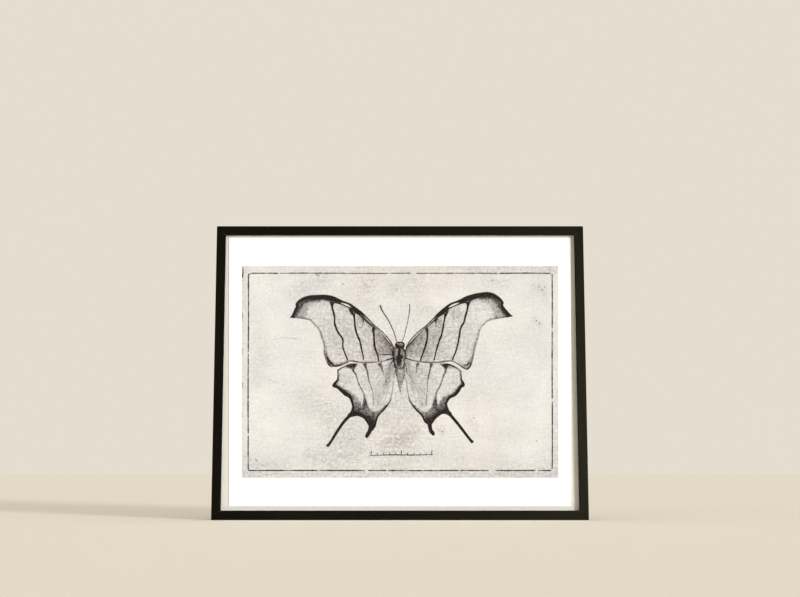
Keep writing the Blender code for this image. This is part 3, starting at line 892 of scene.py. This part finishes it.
FORE_WINDOWS = [
    [(51.8, 68.3, 1.5, 1.0), (56, 70, 1.6, 1.0), (60, 71.6, 1.2, 0.9)],
    [(12, 33.2, 1.0, 0.6), (22, 43.4, 1.1, 0.7), (30, 50.2, 1.0, 0.7)],
]
HEM_TOP = [
    (-20, -80), (9, -60), (11, -34), (15.5, -34.5), (19, -38), (22, -40.5), (27, -41), (31.5, -38.5),
    (33.5, -34), (34.5, -31), (36.6, -26.5), (38.3, -29), (38.8, -33), (40.3, -34), (41, -31), (43, -29),
    (44, -26.5), (46.5, -24.8), (50, -24.5), (54.5, -21.6), (57, -19.5), (60, -15.5), (62.4, -12), (64, -9),
    (68, -7)
]
HEM_TONE = 0.60
HEM_DEPTH_TONE = 0.20
HIND_SHADES = [
    [(66, -13, 3.2, 0.9), (62, -18.6, 4, 0.75), (57, -23.4, 3.6, 0.6), (52, -27, 4, 0.5)],
    [(50, -34, 3, 0.6), (49.5, -40, 4.5, 0.95), (43, -42.6, 3.8, 0.9), (38, -45, 3.4, 0.75),
     (34.6, -48, 3.2, 0.7)],
    [(42, -38, 4, 0.3), (36, -38, 4, 0.2)],
    [(53, -45, 5, BLACK), (64, -59, 4, BLACK), (76, -73.6, 4, BLACK)],
    [(30, -50, 6, 0.65), (32.4, -58, 3.6, 0.9), (34.6, -64.5, 2.6, 0.9)],
    [(44, 8, 3, 0.6), (50, 6.6, 3.4, 0.75), (56, 5.2, 2.6, 0.45)],
    [(63.4, 0, 2.6, 0.3), (63.4, -8, 3, 0.4)],
    [(6, 11, 6, 0.42), (9, 3, 6, 0.22), (12, -8, 5, 0.22), (14, -20, 5, 0.12)],
    [(22, -18, 7, 0.10), (24, -34, 6, 0.14)],
]
HIND_WINDOWS = [
    [(8, -4, 1.4, 0.6), (10.6, -18, 1.6, 0.6), (13.4, -29, 1.4, 0.5)],
    [(35, -43, 2.6, 0.15), (37, -31, 1.6, 0.2)],
    [(40, -5, 7, 0.3)],
]
FORE_OWN = {
    "right": ([[(58, 60, 9, 0.07)], [(15, 22, 8, 0.12)], [(22, 32, 8, 0.08), (30, 16, 7, 0.08)]],
              [[(66, 18, 9, 0.8)], [(70, 34, 8, 0.35)], [(85, 58, 8, 0.5)]]),
    "left": ([[(76, 50, 9, 0.09), (69, 30, 9, 0.09)], [(52, 40, 8, 0.12)], [(15, 22, 8, 0.25)]],
             [[(58, 58, 9, 0.5)], [(41, 46, 8, 0.5), (34, 30, 8, 0.3), (28, 17, 7, 0.3)], [(90, 68, 8, 0.15)]]),
}
HIND_OWN = {
    "right": ([[(56, -8, 8, 0.07)], [(14, -12, 6, 0.04)], [(38, -40, 4, 0.35)]],
              [[(10, 2, 5, 0.2)], [(23, -4, 6, 0.25)]]),
    "left": ([[(56, -8, 9, 0.15)], [(10, 4, 6, 0.12), (14, -14, 6, 0.10)], [(24, -26, 6, 0.06)],
              [(28, -44, 4, 0.3)]],
             [[(25, -4, 6, 0.5)], [(46, -29, 6, 0.2)], [(38, -41, 4, 0.07)]]),
}
print("soft strokes on a side:", len(FORE_SHADES) + len(HIND_SHADES))

# %% Laying the tones down


def shaded(places, base, shades, windows):
    """A base tone with soft strokes laid over it and windows rubbed out of it."""
    tone = base
    for path in shades:
        tone = over(tone, brushed(places, path, softness=0.7))
    for path in windows:
        tone = tone * (1 - brushed(places, path, softness=0.8))
    return tone


def root_shade(places, root, far_tone, extra, reach):
    """A tone that is even far from a wing's root and deepens towards it."""
    away = np.linalg.norm(places - root, axis=1)
    return far_tone + extra * np.exp(-(away / reach) ** 2)


def fore_shade(side):
    """The soft tones of one forewing, as a function of places laid out on the right."""
    shades, windows = FORE_OWN[side]

    def shade(places):
        base = root_shade(places, root=(5, 18), far_tone=0.115, extra=0.17, reach=56)
        return shaded(places, base, FORE_SHADES + shades, FORE_WINDOWS + windows)

    return shade


def hem_shade(places):
    """The dark hem: everything below its ragged upper edge, a little darker further down."""
    across, heights = np.array(HEM_TOP).T
    below = np.interp(places[:, 0], across, heights) - places[:, 1]
    edge = np.clip(below / 1.6 + 0.5, 0, 1)
    return edge * (HEM_TONE + HEM_DEPTH_TONE * np.clip(below / 10, 0, 1))


def hind_shade(side):
    """The same for one hindwing, with its hem."""
    shades, windows = HIND_OWN[side]

    def shade(places):
        base = root_shade(places, root=(5, 10), far_tone=0.13, extra=0.09, reach=30)
        return shaded(places, over(base, hem_shade(places)), HIND_SHADES + shades, HIND_WINDOWS + windows)

    return shade


print("shading ready")

# %% The four wings
for side, hand in HANDS.items():
    make_patch("hindwing_" + side, hindwing_outline, hind_shade(side), hand)
    make_patch("forewing_" + side, forewing_outline, fore_shade(side), hand)

# %% [markdown]
# ## Pen lines of the wings
#
# Over the soft tones come the lines. Along an edge, the pen stays just inside the outline, so its whole width
# leans to one side. The front edge of the forewing starts as a thin line beside a second one, and the two meet in a
# black wedge. The hindwing's lines are heaviest at its hem and tails. Each side adds a few lines of its own.

# %% Edges and bands in ink
SECOND_LINE = [
    (6.5, 25.5, 1.3, 0.75), (9.5, 27.5, 1.5, 0.8), (14.5, 33.6, 1.4, 0.8), (17.5, 37.2, 1, 0.75),
    (21, 41, 0.8, 0.7), (24.5, 44.4, 0.9, 0.75), (27, 46.2, 1.4, 0.85), (33, 50.9, 1.3, 0.85),
    (36, 53.6, 2, 0.93), (39, 56.8, 2, 0.95), (42, 59, 2.3, BLACK), (45, 61, 2.6, BLACK),
    (48.5, 63.8, 2.6, BLACK), (51, 65.8, 1.6, 0.95), (55, 67.8, 1.3, 0.9), (60, 70, 1.5, 0.93),
    (64, 71.6, 2, BLACK), (68, 72.4, 2.2, BLACK)
]
TAIL_LINE = [
    (50.6, -42.6, 5), (53, -45.6, 3.4), (56, -49.6, 2.6), (60, -54.6, 2.2), (65, -61, 2.1), (70, -67.4, 2.1),
    (73, -70.8, 2.4), (75.2, -72.6, 2.4)
]
LEFT_CORNER = [
    (75.4, 22, 1, 0.5), (74.6, 17, 1.3, 0.75), (73.8, 13.4, 2, 0.9), (71.6, 8.4, 2.6, 0.93),
    (69, 5.6, 2.6, 0.93), (66, 4, 2.2, 0.9), (62.4, 5.6, 1.8, 0.85), (57, 8.6, 1.6, 0.8), (52, 10.2, 1.5, 0.75)
]
LEFT_WEDGE = [(53, 65.4, 1.6, 0.9), (50.6, 63.4, 4, BLACK), (48.4, 59.4, 3, 0.95)]
LEFT_SECOND = [(42, 58.6, 1.8, 0.93), (36, 52.6, 1.6, 0.9), (29, 46.6, 1.6, 0.85)]
LEFT_HIND_WEDGE = [(55.4, 6.4, 1, 0.6), (51.4, 6, 4, 0.75), (47.6, 4, 3, 0.8)]
RIGHT_CORNER = [
    (66, 6.8, 1.4, 0.7), (69, 7.2, 1.6, 0.8), (71, 8.5, 1.6, 0.8), (71.6, 10, 1.4, 0.7), (74, 10, 1.2, 0.6)
]
RIGHT_INNER = [
    (73.5, 11, 1, 0.7), (74, 14, 1, 0.6), (75, 17, 0.9, 0.5), (76.5, 20, 0.8, 0.4), (77.4, 24, 0.6, 0.3)
]
BAND_SWELL = 1.15


def pen(points, tone=1.0, lean=0, spacing=0.8):
    """A pen line through rows of x, z and width, and of tone where it changes along the line."""
    rows = smooth(points, spacing)
    tones = rows[:, 3] * tone if rows.shape[1] > 3 else tone
    return rows, tones, lean


def edge_pen(stretch):
    """A line that stays inside an outline, which has the wing on its right."""
    return pen(stretch, lean=-1)


FORE_LINES = [pen(np.array(band) * (1, 1, BAND_SWELL), 0.97) for band in FORE_BANDS]
FORE_LINES += [pen(WEDGE, 0.9), pen(CURL, 0.5), pen(SECOND_LINE)]
FORE_LINES += [edge_pen(stretch) for stretch in (FRONT_EDGE, HOOK, HOLLOW, FORE_CORNER, HIND_EDGE)]
HIND_LINES = [pen(np.array(band) * (1, 1, BAND_SWELL, 1)) for band in HIND_BANDS]
HIND_LINES += [pen(TAIL_LINE, 0.98)]
HIND_LINES += [edge_pen(stretch) for stretch in (HIND_TOP, HIND_SIDE, HIND_MARGIN, BETWEEN_TAILS, SHORT_TAIL,
                                                 INNER_MARGIN)]
OWN_FORE_LINES = {"left": [LEFT_CORNER, LEFT_WEDGE, LEFT_SECOND], "right": [RIGHT_CORNER, RIGHT_INNER]}
OWN_HIND_LINES = {"left": [LEFT_HIND_WEDGE], "right": []}

for side, hand in HANDS.items():
    own_hind = [pen(line) for line in OWN_HIND_LINES[side]]
    own_fore = [pen(line) for line in OWN_FORE_LINES[side]]
    make_strokes("hindwing_lines_" + side, HIND_LINES + own_hind, hind_shade(side), hand)
    make_strokes("forewing_lines_" + side, FORE_LINES + own_fore, fore_shade(side), hand)
print("lines on a side:", len(FORE_LINES) + len(HIND_LINES))

# %% [markdown]
# ## Hatching
#
# Pencil tone is built from many short strokes. They follow the form: inwards from the black tip, along the hem,
# and like rays from each wing's root. A seeded chance varies their length, tilt and pressure, so the drawing is
# the same every time it is made.

# %% Hatching strokes
FORE_FAN = (4, 18)
HIND_FAN = (4, 10)
LOOSE = 0.22


def hatch(start, angle, length, width, tone):
    """One tapered pencil stroke, slightly bowed."""
    reach = np.array((cos(angle), sin(angle))) * length
    bow = np.array((-sin(angle), cos(angle))) * length * 0.04
    start = np.array(start)
    rows = [(*start, width * 0.8), (*(start + reach * 0.5 + bow), width), (*(start + reach), width * 0.25)]
    rows = smooth(rows, 2.5)
    return rows, np.linspace(tone, tone * 0.35, len(rows)), 0


def inward_hatching(outline, count, lengths, tone, tilt, chance):
    """Short strokes from an edge into the wing on its right."""
    rows = smooth(outline, 1.0)[:, :2]
    strokes = []
    for _ in range(count):
        k = chance.randrange(1, len(rows) - 1)
        ahead = rows[k + 1] - rows[k - 1]
        inward = np.arctan2(-ahead[0], ahead[1]) + chance.gauss(tilt, LOOSE)
        strokes.append(hatch(rows[k] + (cos(inward), sin(inward)), inward, chance.uniform(*lengths),
                             chance.uniform(0.3, 0.5), tone * chance.uniform(0.6, 1.1)))
    return strokes


def ray_hatching(root, count, angles, starts, lengths, tone, chance):
    """Strokes that fan out from a wing's root, between two angles in degrees."""
    strokes = []
    for _ in range(count):
        angle = radians(chance.uniform(*angles))
        begin = chance.uniform(*starts)
        start = (root[0] + cos(angle) * begin, root[1] + sin(angle) * begin)
        strokes.append(hatch(start, angle + chance.gauss(0, 0.04), chance.uniform(*lengths),
                             chance.uniform(0.25, 0.45), tone * chance.uniform(0.5, 1.1)))
    return strokes


for number, (side, hand) in enumerate(HANDS.items()):
    chance = random.Random(20 + number)
    tip = inward_hatching(FRONT_EDGE[9:], 80, (5, 9), 0.55, 0.2, chance)
    tip += inward_hatching(HOOK[:4], 60, (4, 9), 0.6, 0.3, chance)
    root = ray_hatching(FORE_FAN, 70, (-8, 52), (2, 18), (6, 16), 0.48, chance)
    cells = ray_hatching(FORE_FAN, 230, (-4, 42), (20, 68), (3, 8), 0.42, chance)
    make_strokes("forewing_hatching_" + side, tip + root + cells, fore_shade(side), hand)
    hem = inward_hatching(HIND_MARGIN[1:7], 50, (3, 8), 0.6, 0.3, chance)
    hem += inward_hatching(BETWEEN_TAILS, 40, (4, 10), 0.6, 0.0, chance)
    rays = ray_hatching(HIND_FAN, 80, (-84, -20), (4, 22), (6, 20), 0.3, chance)
    veils = ray_hatching(HIND_FAN, 120, (-80, -26), (16, 46), (4, 9), 0.4, chance)
    make_strokes("hindwing_hatching_" + side, hem + rays + veils, hind_shade(side), hand)
print("hatching strokes on a side:", len(tip + root + cells + hem + rays + veils))

# %% [markdown]
# ## Body and antennae
#
# The body lies over the wing roots: a round dark head, a furry thorax with dark stripes, and a ringed abdomen that
# tapers to a point. Each is a patch with its own soft tones, with fine strokes over it for fur and rings, and a few
# dark lines tie it to the wings. The antennae are two thin lines that thicken at their tips. Last come the glints:
# strokes with little ink, laid over everything else as if rubbed out of it, two of them round a dark dot.

# %% Body outlines and tones
HEAD = [(-5, 26), (-5.3, 28), (-4.5, 30), (-3, 31.2), (0, 31.4), (2.5, 31.2), (4.2, 30.2), (5, 28.5), (4.8, 26.5),
        (3.6, 25), (0, 24), (-3.6, 24.6)]
THORAX = [(-4, 26), (-7, 22), (-7.5, 19), (-7.3, 16), (-6.8, 10), (-5, 5), (-4.4, 3), (4.2, 3), (5, 10), (6, 16),
          (6.2, 20.5), (4.4, 24), (3, 26)]
ABDOMEN = [
    (-5, 6), (-5.3, 2), (-5, -1), (-4.2, -4), (-2.6, -9), (-2, -14), (-1, -17), (0.5, -23), (1.6, -18),
    (3, -12), (4.9, -5), (4.8, -3), (4.2, 1), (4.2, 6)
]
BODY_TONES = {"head": 0.86, "thorax": 0.78, "abdomen": 0.45}
BODY_SHADES = {
    "head": [[(-4.4, 28.4, 2, 0.9), (-3, 26.6, 3.6, BLACK), (0, 25.6, 3, BLACK), (3.6, 26, 2.4, 0.95)],
             [(-3, 30.8, 1.6, 0.7), (2.6, 30.8, 1.8, 0.8), (4.6, 28.4, 1.8, 0.8)],
             [(-0.8, 28.6, 1.2, 0.7), (-0.6, 26, 1.4, 0.9)]],
    "thorax": [[(-0.6, 24.6, 2, BLACK), (-1.2, 20, 2.4, BLACK), (-1.4, 16.4, 3, BLACK), (-2.2, 12.6, 2.6, 0.95),
                (-2, 7, 2, 0.6)],
               [(2, 16.4, 1.8, 0.95), (0.8, 12, 1.8, 0.9), (0.6, 8, 1.8, 0.7)],
               [(-7, 21, 1.8, 0.85), (-7, 16.4, 2.2, BLACK), (-6.6, 10, 1.6, 0.8), (-4.6, 4.6, 1.4, 0.75)],
               [(4, 24, 2.2, 0.85), (5.6, 21, 1.6, 0.8), (5.6, 16, 1.6, 0.6)]],
    "abdomen": [[(-4.8, 4, 1.8, 0.75), (-4.4, -3, 1.6, 0.6), (-2.2, -10, 1.4, 0.5), (-0.4, -20, 1.4, 0.4)],
                [(-2.6, 3, 1.4, 0.5), (-2.6, -4, 1.2, 0.4)],
                [(4.2, 4, 1.2, 0.6), (4.8, -4, 1.4, 0.5), (3, -11, 1.2, 0.3)],
                [(0, -4, 4, 0.2), (0.3, -12, 2, 0.2)]],
}
BODY_WINDOWS = {
    "head": [[(-2.6, 29.6, 0.8, 0.35), (-2, 29, 0.8, 0.3)], [(0.6, 29.4, 1.1, 0.35), (2.4, 28.4, 1.1, 0.35)]],
    "thorax": [[(-2.6, 23.4, 0.9, 0.4), (-3.4, 17, 0.9, 0.4)], [(-5.4, 20, 0.8, 0.15), (-5.2, 16, 0.8, 0.15)],
               [(1.8, 22, 1.4, 0.2), (3.4, 18, 1.8, 0.3)], [(2.8, 13, 1.4, 0.45), (3, 10.4, 1.4, 0.45)],
               [(-4.4, 11, 1, 0.3), (-3.4, 6, 1, 0.3)]],
    "abdomen": [[(1.4, 2, 1.8, 0.3), (1, -8, 1.2, 0.2)]],
}
LEFT_ANTENNA = [
    (-3.4, 31, 1.1), (-4.2, 34, 1.1), (-5, 37, 1.1), (-7, 43, 1.2), (-9.8, 49, 1.3), (-13, 55.2, 1.3),
    (-16.5, 60.5, 1.5), (-18.6, 64, 1.7), (-20.1, 67.6, 1.8), (-20.4, 69.6, 1.3)
]
RIGHT_ANTENNA = [
    (1.8, 30.8, 1), (3, 33.5, 1), (4.8, 38, 1), (6.2, 45, 1.05), (7.8, 51, 1.05), (9.2, 59, 1.1),
    (10.1, 65, 1.3), (10, 68.6, 1.4), (9.9, 70.4, 1.1)
]
print("points in the body's outlines:", len(HEAD), len(THORAX), len(ABDOMEN))

# %% Body patches


def body_shade(part):
    return lambda places: shaded(places, BODY_TONES[part], BODY_SHADES[part], BODY_WINDOWS[part])


for part, outline in (("abdomen", ABDOMEN), ("thorax", THORAX), ("head", HEAD)):
    make_patch(part, outline_of(outline + outline[:1]), body_shade(part), cell=0.5)

# %% Fur, rings and wing roots
RINGS = 12
RING_TOP = 1
RING_STEP = 1.75
RING_HALF = 4.6
RING_REACH = 26

chance = random.Random(31)
fur = []
for _ in range(90):
    x = chance.uniform(-6.8, 5.6)
    z = chance.uniform(6, 24)
    fur.append(hatch((x, z), radians(-90) + x * 0.03 + chance.gauss(0, 0.15), chance.uniform(1.5, 4),
                     chance.uniform(0.4, 0.7), chance.uniform(0.2, 0.7)))
rings = []
for k in range(RINGS):
    z = RING_TOP - k * RING_STEP
    half = RING_HALF * (1 - ((RING_TOP - z) / RING_REACH) ** 1.2)
    rings.append(pen([(-half + 0.2, z, 0.5), (0, z - 0.6, 0.8), (half + 0.4, z, 0.5)], 0.38, spacing=1))
WING_ROOTS = {
    "left": [[(5, 25.6, 2.6, 0.3), (7.4, 22, 2.6, 0.4), (8, 18, 2, 0.3)],
             [(6.4, 16.4, 1.8, 0.85), (9, 17.6, 1.2, 0.7), (14, 18.2, 1, 0.6), (21, 18.2, 0.8, 0.35)],
             [(6.4, 14.8, 1.4, 0.8), (9, 14, 1.2, 0.75), (14, 12.6, 1, 0.6)],
             [(7, 12.6, 1, 0.6), (9.6, 8, 0.8, 0.5), (11.6, 3, 0.7, 0.4)],
             [(14.8, 31.4, 1, 0.6), (14.5, 26, 0.8, 0.5)]],
    "right": [[(5, 15, 1.4, 0.8), (8, 13.8, 1.1, 0.75), (13, 12, 1, 0.6)],
              [(5.6, 22, 1.4, 0.8), (8, 26, 1.2, 0.7), (12, 30.6, 0.9, 0.5)],
              [(4.6, 10, 1, 0.55), (6.6, 4, 0.9, 0.5), (7.4, -2, 0.8, 0.4)]],
}
for side, mirror in (("left", -1), ("right", 1)):
    fur += [pen([(mirror * x, *rest) for x, *rest in line]) for line in WING_ROOTS[side]]
make_strokes("thorax_fur", fur, body_shade("thorax"))
make_strokes("abdomen_rings", rings, body_shade("abdomen"))
print("fur strokes:", len(fur), "rings:", len(rings))

# %% Glints and antennae


def bare(places):
    return np.zeros(len(places))


def eye_ring(x, z, radius, width, tone):
    angles = np.radians(np.arange(0, 361, 45))
    return pen([(x + radius * cos(angle), z + radius * sin(angle), width) for angle in angles], tone, spacing=0.4)


glints = [pen([(-2.9, 29.7, 0.5), (-2.2, 29.2, 0.8), (-1.5, 28.6, 0.5)], 0.42),
          eye_ring(0.9, 28.4, 1.25, 0.5, 0.6), eye_ring(0.9, 28.4, 0.35, 0.7, 0.95),
          pen([(1.4, 9.5, 0.6), (2.8, 8.8, 0.9), (2.8, 7, 0.9), (1.1, 5.6, 0.7)], 0.08),
          eye_ring(0.6, 7.8, 0.3, 0.6, 0.9)]
make_strokes("body_glints", glints, bare)
feelers = [pen(LEFT_ANTENNA, 0.85), pen(RIGHT_ANTENNA, 0.75)]
make_strokes("antennae", feelers, plate_shade)
print("glints:", len(glints), "antennae:", len(feelers))

# %% [markdown]
# ## Scale mark
#
# Below the butterfly a study like this usually has a note by hand. Here it is a plain pencil scale mark: one line
# with small upright ticks, a longer one at every fifth, drawn a little unevenly.

# %% Scale mark
MARK_LEFT = -30
MARK_RIGHT = 33
MARK_Z = -86.5
TICKS = 10
SHORT_TICK = 2.6
LONG_TICK = 4.6

chance = random.Random(41)
mark = [pen([(MARK_LEFT - 1, MARK_Z - 0.4, 0.9), (-8, MARK_Z + 0.2, 1.3), (14, MARK_Z, 1.2),
             (MARK_RIGHT + 1.5, MARK_Z + 0.6, 0.8)], 0.85)]
for k in range(TICKS + 1):
    x = MARK_LEFT + (MARK_RIGHT - MARK_LEFT) * k / TICKS + chance.uniform(-0.25, 0.25)
    height = (LONG_TICK if k % 5 == 0 else SHORT_TICK) + chance.uniform(-0.3, 0.3)
    mark.append(pen([(x, MARK_Z - 0.3, 1.2), (x + chance.uniform(0.1, 0.5), MARK_Z + height, 1)], 0.85))
make_strokes("scale_mark", mark, plate_shade)
print("ticks:", TICKS + 1)

# %% [markdown]
# ## Sizes
#
# The construction sets the real size, and the finish must not outgrow it.

# %% Sizes
print("sizes set by the construction")
